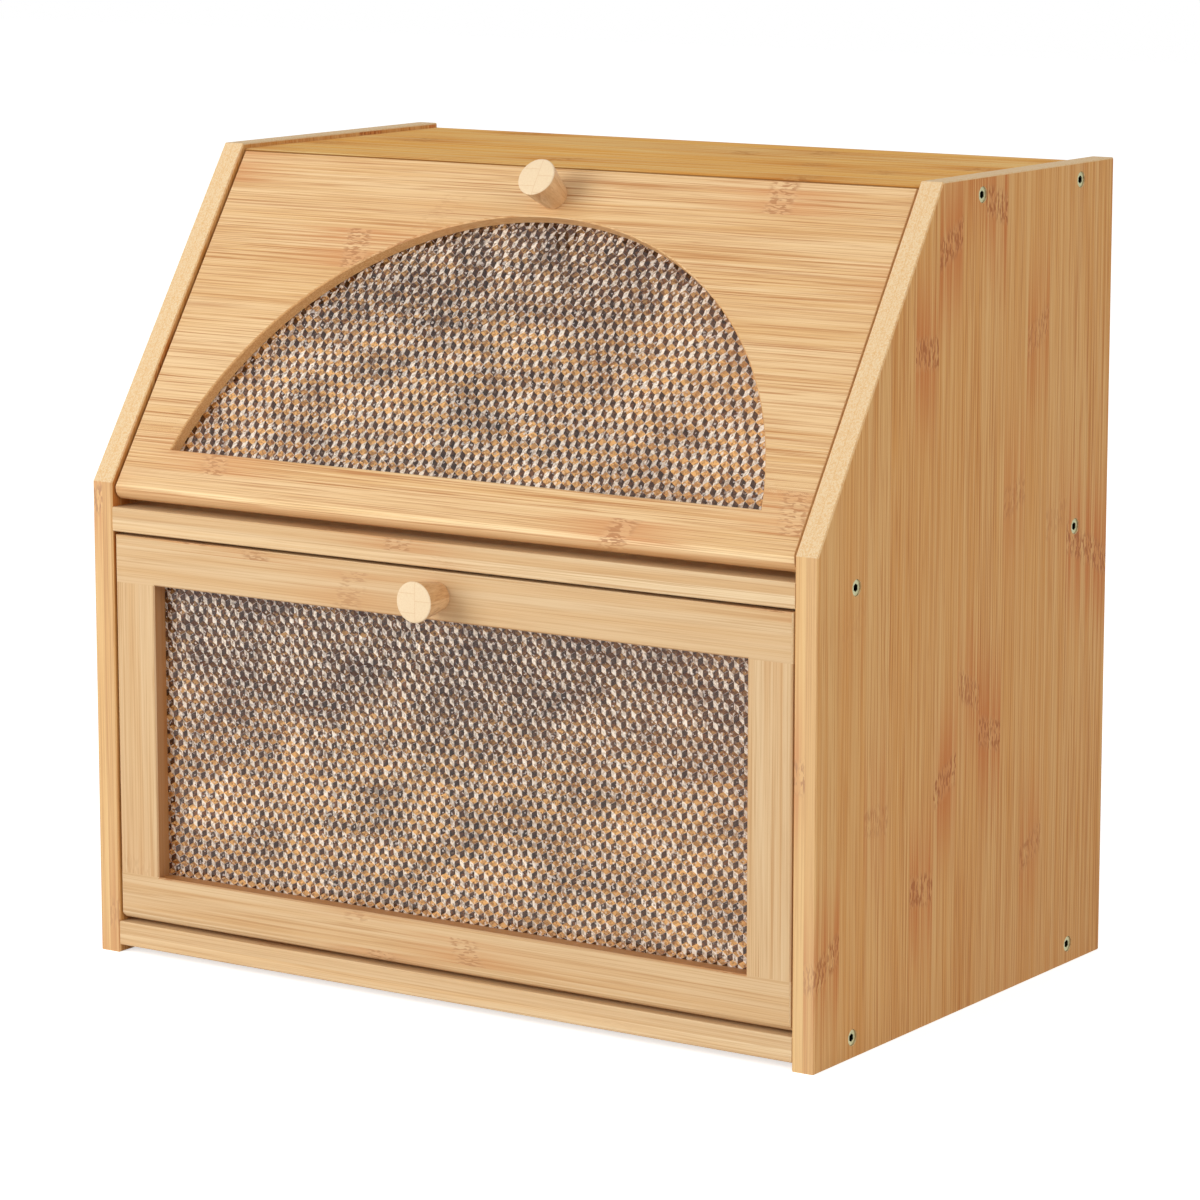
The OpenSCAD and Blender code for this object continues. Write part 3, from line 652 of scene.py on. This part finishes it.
# %% Pyramid cells
def pyramid_cells(wide, high, pitch, row, upright):
    """Rhombi of the pyramid honeycomb that cover wide by high: four (x, z, step) corners, four labels.

    Cell centres stand pitch apart in rows that are row apart, every other row moved by half a pitch.
    A corner's step is 0 at a tip, 2 at the three low corners and 1 at the three between them.
    A label is the corner's place in its rhombus from (0, 0) at the tip to (1, 1), plus 2 for each kind
    in u (left, right, wide) and 2 times a number from 0 to 7 in v, which the cell's three share.
    upright is 1 for cells whose wide rhombus is below the tip and -1 for above.
    """
    half, reach = pitch / 2, row / 1.5
    ring_x = np.array([0, half, half, 0, -half, -half])
    ring_z = np.array([reach, reach / 2, -reach / 2, -reach, -reach / 2, reach / 2]) * upright
    ring_step = np.array([1, 2, 1, 2, 1, 2])
    rows = np.arange(-np.ceil(high / 2 / row) - 1, np.ceil(high / 2 / row) + 2)
    columns = np.arange(-np.ceil(wide / 2 / pitch) - 1, np.ceil(wide / 2 / pitch) + 2)
    column, line = (grid.ravel() for grid in np.meshgrid(columns, rows))
    centre = np.stack([(column + (line % 2) / 2) * pitch, line * row], axis=1)
    tip = np.column_stack([centre, np.zeros(len(centre))])
    dice = np.random.default_rng(7).integers(0, 8, len(centre))
    square = np.array([[0, 0], [1, 0], [1, 1], [0, 1]])
    faces, labels = [], []
    for kind, start in enumerate((4, 0, 2)):
        corners = [(start + 2) % 6, start + 1, start]
        ring = [np.column_stack([centre + (ring_x[i], ring_z[i]), np.full(len(centre), ring_step[i])])
                for i in corners]
        label = square + np.stack([np.full(len(centre), 2 * kind), 2 * dice], axis=1)[:, None]
        faces.append(np.stack([tip, *ring], axis=1)[:, ::upright])
        labels.append(label[:, ::upright])
    return np.concatenate(faces), np.concatenate(labels)


# %% [markdown]
# The cells cover more than the window. Points beyond the pane's outline are drawn in onto it, faces
# that lie wholly beyond it are dropped, and the sheet is closed with a wall and a flat back.

# %% Closed sheet
points_per_metre = 1e7  # corners closer than a tenth of a micrometre are one point
least_area = 1e-9
plain_label = 7.5  # outside the labels of the three kinds


def sheet_mesh(name, cells, labels, fit, front_y, depth, back_y, hinge, lean):
    """A closed sheet: the pyramids in front, a wall round the outline, and a flat back.

    fit moves points beyond the outline onto it. A corner's y is front_y plus its step's share of depth.
    """
    flat = cells.reshape(-1, 3)
    fitted, outside = fit(flat[:, :2])
    keep = ~outside.reshape(-1, 4).all(axis=1)
    corner = np.round(np.column_stack([fitted, flat[:, 2]]) * points_per_metre).astype(np.int64)
    unique, number = np.unique(corner, axis=0, return_inverse=True)
    quads = number.reshape(-1, 4)[keep]
    shape = unique[:, :2][quads] / points_per_metre
    across = shape[:, 2] - shape[:, 0]
    beside = shape[:, 3] - shape[:, 1]
    area = 0.5 * (across[:, 0] * beside[:, 1] - across[:, 1] * beside[:, 0])
    real = np.abs(area) > least_area
    labels = labels[keep][real]
    used, quads = np.unique(quads[real], return_inverse=True)
    quads = quads.reshape(-1, 4)
    x, z, step = unique[used].T / points_per_metre
    edges = np.concatenate([quads[:, [i, (i + 1) % 4]] for i in range(4)]).tolist()
    names = {tuple(edge) for edge in edges}
    rim = np.array([edge for edge in edges if (edge[1], edge[0]) not in names])
    count = len(used)
    relief_y = front_y + depth * step / 2
    points = np.concatenate([np.stack([x, relief_y, z], 1), np.stack([x, np.full(count, back_y), z], 1)])
    wall = np.stack([rim[:, 1], rim[:, 0], rim[:, 0] + count, rim[:, 1] + count], axis=1)
    faces = np.concatenate([quads, quads[:, ::-1] + count, wall])
    plain = np.full((len(faces) - len(quads), 4, 2), plain_label)
    uv = np.concatenate([labels, plain])
    return mesh_piece(name, on_door(points, hinge, lean), faces.tolist(), uv=uv)


# %% [markdown]
# The lower window is a rectangle and the upper one a half moon, so each has its own rule for drawing
# points in. A rule also says which points lay beyond the outline.

# %% Outlines
same_place = 1e-9


def fit_rectangle(low, high):
    """A function that brings points beyond a rectangle onto its edge, and says which were beyond."""
    def fit(points):
        inside = np.clip(points, low, high)
        return inside, np.abs(inside - points).max(axis=1) > same_place
    return fit


def fit_half_moon(low, high):
    """A function that brings points beyond a half moon onto its arc or its chord.

    The arc's radius is (rise squared + half the chord squared) / (2 rise).
    """
    rise, half = high[1] - low[1], high[0]
    radius = (rise * rise + half * half) / (2 * rise)
    middle = np.array([0, high[1] - radius])

    def fit(points):
        out = points - middle
        length = np.hypot(*out.T)
        shrink = np.where(length > radius, radius / length, 1.0)
        inside = middle + out * shrink[:, None]
        inside = np.stack([np.clip(inside[:, 0], -half, half), np.maximum(inside[:, 1], low[1])], axis=1)
        return inside, np.abs(inside - points).max(axis=1) > same_place
    return fit


# %% [markdown]
# The pitch and the rows of the pattern follow the photograph. The CAD node of a pane gives the
# outline and the thickness, so the new sheet fills the same place. The cells are laid out generously,
# since those beyond the outline are dropped anyway.

# %% Panes
pitch_mm, lower_row_mm, upper_row_mm, relief_mm = 5.08, 4.45, 5.2, 0.45


def pane(name, node, row_mm, upright, fit_for, hinge, lean):
    """One embossed pane in the space of its CAD node, the pyramids on its outer face."""
    at = in_door(node_points(node), hinge, lean)
    low, high = at.min(0), at.max(0)
    print(node, "in the door's axes:", low, high)
    wide, tall = 2 * high[0], 2 * (high[2] - low[2])
    cells, labels = pyramid_cells(wide, tall, pitch_mm / 1000, row_mm / 1000, upright)
    cells[..., 1] += (low[2] + high[2]) / 2
    fit = fit_for(low[[0, 2]], high[[0, 2]])
    return sheet_mesh(name, cells, labels, fit, low[1], relief_mm / 1000, high[1], hinge, lean)


lower_pane = pane("lower_pane_embossed", "lower_window_pane", lower_row_mm, -1, fit_rectangle,
                  lower_hinge, 0)
upper_pane = pane("upper_pane_embossed", "upper_window_pane", upper_row_mm, 1, fit_half_moon,
                  upper_hinge, slope)

# %% [markdown]
# ## Clear plastic
#
# The plastic is clear, but it never looks evenly clear: the faces that lean to the left throw back
# the bright room as a milky white, the ones that lean to the right lead the eye into the dark corners
# of the box, and the wide ones take up the honey colour of the boards. These looks are painted
# light: the mesh's UV map says which kind a face is and where a point lies on it, so each kind gets its
# own coat of painted colour (white reflection, the boards' honey, dark shade) and its own tint. Small
# chips of brighter and darker paint stand for the many images that the pattern makes, and thin painted
# glints run along some ridges. The wide faces go dark towards the pane's top edge with painted shade,
# where the shade under the board above lies behind them.

# %% Painted light on the panes
shade_depth_mm = 60.0
# Shares of painted light for each face kind: white reflection on the left faces, the boards' honey on the
# wide ones, dark shade on the right ones.
left_painted_light, wide_painted_light, right_painted_light, shaded_wide = 0.62, 0.5, 0.08, -0.42
cloud_painted_light, chip_painted_light = 0.16, 0.2
cell_painted_light, first_cell = 0.03, -0.1  # more painted light with each cell number, from this on
clearest, painted_glint, glint_ridge_wide = 0.25, 0.6, 0.09


def face_kinds(tree):
    """From the UV map: 1 or 0 for a left, a right and a wide face, the cell's number, the edge's."""
    u, v, _ = parts(tree, add(tree, "ShaderNodeUVMap", uv_map="facet").outputs[0])
    kind = maths(tree, "FLOOR", maths(tree, "DIVIDE", u, 2.0))
    left, right, wide = (maths(tree, "COMPARE", kind, float(number), 0.5) for number in range(3))
    cell = maths(tree, "FLOOR", maths(tree, "DIVIDE", v, 2.0))
    return left, right, wide, cell, maths(tree, "MODULO", v, 2.0)


def painted_light_shares(tree, in_mm, shade, cloud, grit):
    """How much painted light a place has, how much of it is painted glint, and the masks of the face
    kinds.
    """
    left, right, wide, cell, from_edge = face_kinds(tree)
    chips = add(tree, "ShaderNodeTexVoronoi", {"Vector": in_mm, "Scale": 1.0}).outputs["Color"]
    chip, spark, speck = parts(tree, chips)
    wide_level = times(tree, wide, ramp(tree, shade, shaded_wide, wide_painted_light))
    level = ramp(tree, left, left_painted_light, ramp(tree, right, right_painted_light, wide_level))
    for change in (eased(tree, cloud, 0.35, 0.68, -cloud_painted_light, cloud_painted_light),
                   ramp(tree, cell, cell_painted_light, first_cell),
                   eased(tree, chip, 0.25, 0.75, -chip_painted_light, chip_painted_light)):
        level = maths(tree, "ADD", level, change)
    # About one chip in ten is nearly clear, and one in ten takes a painted glint.
    level = times(tree, level, eased(tree, speck, 0.1, 0.16, clearest, 1.0))
    # A painted glint runs along each right face's edge beside the wide face.
    ridge_glint = times(tree, eased(tree, from_edge, glint_ridge_wide, 0.05), times(tree, right, grit))
    white = maths(tree, "MAXIMUM", eased(tree, spark, 0.9, 0.95, 0.0, painted_glint), ridge_glint)
    return maths(tree, "MAXIMUM", level, white, use_clamp=True), white, right, wide


# %% [markdown]
# Real plastic lets the lamps shine into the box, but a renderer that bends light finds no straight
# way from a lamp through a sheet, and the inside would stay dark. So a ray that only asks for a lamp
# passes as through thin tinted film, and every other ray meets the coat of painted light or the
# bending sheet.

# %% Plastic
clear_tint, clear_shadow = (0.97, 0.96, 0.94, 1), (0.9, 0.88, 0.85, 1)
acrylic_ior = 1.49
clouds_per_mm, grit_per_mm = (0.03, 0.03, 0.05), (0.4, 0.4, 0.4)
polished, clouded = 0.03, 0.1
grit_strength, grit_depth = 0.3, 0.0002


def clear_plastic(name, top_mm, shade_mm):
    """Embossed plastic: a coat of painted light over tinted faces, and a mix that lets lamp light
    through.

    The wide faces go dark with painted shade over shade_depth_mm, beginning shade_mm below the pane's
    top edge, which is at height top_mm.
    """
    material, tree, output = new_material(name)
    in_mm = in_millimetres(tree, add(tree, "ShaderNodeTexCoord").outputs["Object"])
    cloud = noise(tree, stretched(tree, in_mm, *clouds_per_mm), 3.0)
    grit = noise(tree, stretched(tree, in_mm, *grit_per_mm))
    begins = top_mm - shade_mm
    shade = eased(tree, parts(tree, in_mm)[2], begins, begins + shade_depth_mm)
    share, white, right, wide = painted_light_shares(tree, in_mm, shade, cloud, grit)

    # Painted shade: the wide faces' tint darkens towards the top, and the right faces' tint is dark.
    wide_painted_tint = blended(tree, shade, linear(240, 176, 100), linear(120, 84, 62))
    tint = blended(tree, wide, clear_tint, wide_painted_tint)
    tint = blended(tree, right, tint, linear(66, 48, 38))
    # The coat's colours are painted light: a white reflection on the left faces, the boards' honey on the
    # wide ones, dark shade on the right ones, and white glints.
    painted_light_colour = blended(tree, wide, linear(237, 221, 202), linear(226, 172, 108))
    painted_light_colour = blended(tree, right, painted_light_colour, linear(150, 100, 68))
    painted_light_colour = blended(tree, white, painted_light_colour, linear(244, 238, 230))
    bump = add(tree, "ShaderNodeBump", {
        "Strength": grit_strength, "Distance": grit_depth, "Height": grit})
    glass = add(tree, "ShaderNodeBsdfPrincipled", {
        "Base Color": tint, "Roughness": eased(tree, cloud, 0.4, 0.7, polished, clouded),
        "Normal": bump.outputs[0], "Transmission Weight": 1.0, "IOR": acrylic_ior,
        "Specular IOR Level": 0.08})
    painted_light_coat = add(tree, "ShaderNodeBsdfPrincipled", {
        "Base Color": painted_light_colour, "Roughness": ramp(tree, grit, 0.2, 0.25),
        "Normal": bump.outputs[0], "Specular IOR Level": 0.2})
    coat_and_sheet = add(tree, "ShaderNodeMixShader", {0: share, 1: glass.outputs[0], 2: painted_light_coat.outputs[0]})
    clear = add(tree, "ShaderNodeBsdfTransparent", {"Color": clear_shadow})
    ray = add(tree, "ShaderNodeLightPath").outputs["Is Shadow Ray"]
    mix = add(tree, "ShaderNodeMixShader", {0: ray, 1: coat_and_sheet.outputs[0], 2: clear.outputs[0]})
    tree.links.new(mix.outputs[0], output.inputs[0])
    return material


for piece, node, body, shade_mm in ((lower_pane, "lower_window_pane", "lower_door", 90.0),
                                    (upper_pane, "upper_window_pane", "upper_door", 65.0)):
    _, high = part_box(node)
    dress(clear_plastic(piece.name.replace("pane", "plastic"), high.z * 1000, shade_mm), piece)
    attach(piece, body)
    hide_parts(node)
    print(piece.name, "dressed as", piece.data.materials[0].name)

# %% [markdown]
# ## Turned knobs
#
# Each knob is a short peg turned from laminated bamboo, narrow at the door and wide at its face, with
# the sharp rims sanded round. It is a profile carried round an axis: a list of radii and heights,
# with a quarter circle at each rim.

# %% Turning
def rounded(radius, height, size, start, end, steps):
    """A profile's corner: points of a circle of that size, from one angle to another, in degrees."""
    angle = np.radians(np.linspace(start, end, steps))
    return np.stack([radius + size * np.cos(angle), height + size * np.sin(angle)], axis=1)


def turned_piece(name, profile, hinge, lean, z_on_door, face_y, sides=96):
    """A profile of (radius, height) rows carried round the door's outward direction.

    A point is at radius times (cos, sin) of its angle beside the axis, and at its height outward.
    """
    angle = np.arange(sides) * 2 * np.pi / sides
    radius, height = profile.T
    x = radius[:, None] * np.cos(angle)
    z = radius[:, None] * np.sin(angle) + z_on_door
    y = np.broadcast_to(face_y - height[:, None], x.shape)
    points = np.stack([x, y, z], axis=2).reshape(-1, 3)
    ring = np.arange(sides)
    after = (ring + 1) % sides
    rows = np.arange(len(profile) - 1)[:, None] * sides
    faces = np.stack([rows + ring, rows + sides + ring, rows + sides + after, rows + after], axis=2)
    ends = [ring.tolist(), (ring[::-1] + (len(profile) - 1) * sides).tolist()]
    faces = faces.reshape(-1, 4).tolist() + ends
    return mesh_piece(name, on_door(points, hinge, lean), faces, smooth=True)


# %% [markdown]
# The profile starts at the end of the screw's bore, goes out to the foot, up the tapered side and
# over the face to its middle. The face is a little crowned, as sanding leaves it.

# %% Knobs
knob_long, face_radius, base_radius = 0.0181, 0.009, 0.0063
face_rim, base_rim, face_crown = 0.0007, 0.0004, 0.00015
bore_radius, bore_deep = 0.0014, 0.012
crown_radius, tip_radius = 0.55 * face_radius, 0.0004
knob_profile = np.concatenate([
    [[bore_radius, bore_deep], [bore_radius, 0.0], [base_radius - base_rim, 0.0]],
    rounded(base_radius - base_rim, base_rim, base_rim, -90, 0, 4),
    rounded(face_radius - face_rim, knob_long - face_rim - face_crown, face_rim, 0, 90, 8),
    [[crown_radius, knob_long - face_crown / 3], [tip_radius, knob_long]],
])
print("knob profile points:", len(knob_profile))

# %% [markdown]
# A knob's grain runs along the peg, so its face is a cut end, and the glue lines between its few
# strips cross near the middle of the face, as they do when a peg is turned from an offcut.

# %% Dressed knobs
knob_tones = {
    "Pale": linear(226, 186, 138), "Tan": linear(208, 160, 108), "Brown": linear(172, 116, 68),
    "Red": linear(186, 120, 72), "Ends": linear(232, 208, 172)}
joint_x, joint_z = 0.0008, 0.0006  # where the glue lines cross, beside the knob's axis


def knob_material(name, hinge, lean, z_on_door, seed):
    """Bamboo with its grain along the peg."""
    def place(tree, coordinates):
        x, y, z = door_axes(tree, coordinates, hinge, lean)
        return vector(tree, y, maths(tree, "SUBTRACT", z, z_on_door + joint_z),
                      maths(tree, "SUBTRACT", x, joint_x))
    outward = (0, -cos(lean), sin(lean))
    return bamboo_material(name, place, outward, seed, Strip_mm=8.5, Ply_mm=10.5, Streaks=0.45,
                           Knuckles=0.0, Speckle=0.15, End_joints=1.0, **knob_tones)


for name, hinge, lean, body, seed in (("upper", upper_hinge, slope, "upper_door", 81.0),
                                      ("lower", lower_hinge, 0, "lower_door", 82.0)):
    at = in_door(node_points(name + "_knob"), hinge, lean)
    low, high = at.min(0), at.max(0)
    knob = turned_piece(name + "_knob_turned", knob_profile, hinge, lean, (low[2] + high[2]) / 2, high[1])
    dress(knob_material("bamboo_" + name + "_knob", hinge, lean, float(at[:, 2].mean()), seed), knob)
    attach(knob, body)
    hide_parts(name + "_knob")

# %% [markdown]
# ## Floor and world
#
# The box is photographed as for a shop: on white, with large soft lights. A wide white floor catches
# a soft shadow. The floor and the world are white to the camera, in reflections and through the
# panes, while they light the box only gently.

# %% Floor
floor_half = 6.0
floor_lift = 0.62
dark_paper, light_paper, paper_bumps = (0.86, 0.86, 0.86, 1), (0.89, 0.89, 0.89, 1), 30


def seen_directly(tree):
    """1 for rays from the camera, from a reflection or through glass, and 0 for light itself."""
    rays = add(tree, "ShaderNodeLightPath").outputs
    bounced = maths(tree, "MAXIMUM", rays["Is Glossy Ray"], rays["Is Transmission Ray"])
    return maths(tree, "MAXIMUM", rays["Is Camera Ray"], bounced)


corners = np.array([[-1, -1, 0], [1, -1, 0], [1, 1, 0], [-1, 1, 0]]) * floor_half
floor = mesh_piece("floor", corners, [[0, 1, 2, 3]])
floor_material, tree, output = new_material("white_floor")
where = add(tree, "ShaderNodeTexCoord").outputs["Object"]
paper = noise(tree, stretched(tree, where, paper_bumps, paper_bumps, paper_bumps), 3.0)
shader = add(tree, "ShaderNodeBsdfPrincipled", {
    "Base Color": blended(tree, paper, dark_paper, light_paper),
    "Roughness": 0.9, "Specular IOR Level": 0.1})
lift = add(tree, "ShaderNodeEmission", {
    "Color": (1, 1, 1, 1), "Strength": times(tree, seen_directly(tree), floor_lift)})
both = add(tree, "ShaderNodeAddShader", {0: shader.outputs[0], 1: lift.outputs[0]})
tree.links.new(both.outputs[0], output.inputs[0])
dress(floor_material, floor)

# %% [markdown]
# The world is the white room round the box. Seen directly it is pure white, but it lights the box at
# half that strength, so that the softboxes can draw the forms.

# %% World
world_light = 0.5
world = bpy.data.worlds.new("white_studio")
bpy.context.scene.world = world
world.use_nodes = True
tree = world.node_tree
tree.nodes.clear()
background = add(tree, "ShaderNodeBackground", {
    "Color": (1, 1, 1, 1), "Strength": ramp(tree, seen_directly(tree), 1 - world_light, world_light)})
tree.links.new(background.outputs[0], add(tree, "ShaderNodeOutputWorld").inputs[0])
print("world:", world.name)

# %% [markdown]
# ## Lights
#
# The key light stands at the front left, so the fronts are brightest and the right side is in half
# shade. It is left out of reflections, or the panes would mirror it as a pale veil.

# %% Softboxes
box_middle = Vector((0, 0, 0.18))


def softbox(name, azimuth, elevation, distance, size, power):
    """A square area light aimed at the middle of the box. Azimuth 0 is the front, 90 the box's right."""
    around, up = radians(azimuth), radians(elevation)
    way = Vector((sin(around) * cos(up), -cos(around) * cos(up), sin(up)))
    lamp = bpy.data.lights.new(name, "AREA")
    lamp.shape = "SQUARE"
    lamp.size = size
    lamp.energy = power
    light = bpy.data.objects.new(name, lamp)
    light.location = box_middle + way * distance
    light.rotation_euler = way.to_track_quat("Z", "Y").to_euler()
    bpy.context.scene.collection.objects.link(light)
    return light


key = softbox("key_softbox", azimuth=-30, elevation=20, distance=2.4, size=1.6, power=36.0)
key.visible_glossy = False
fill = softbox("fill_softbox", azimuth=70, elevation=25, distance=2.8, size=1.8, power=21.0)
print("lights:", key.name, fill.name)

# %% [markdown]
# ## Camera
#
# The photograph was taken from the front right, a little above the box, with a long lens. A fit of
# the box's corners gave the lens, the place and the two turns. The camera has no shift, so that the
# same one serves every view.

# %% Camera
lens_mm, sensor_mm = 140.0, 36.0
camera_place = (1.1488, -1.7171, 0.5314)
camera_down, camera_turn = radians(10.10), radians(33.65)

camera = bpy.data.objects.new("camera", bpy.data.cameras.new("camera"))
bpy.context.scene.collection.objects.link(camera)
bpy.context.scene.camera = camera
camera.data.lens = lens_mm
camera.data.sensor_width = sensor_mm
camera.data.clip_start = 0.1
camera.data.clip_end = 50.0
camera.location = camera_place
camera.rotation_euler = (radians(90) - camera_down, 0, camera_turn)
bpy.context.scene.view_settings.view_transform = "Standard"
print("camera at:", camera.location)
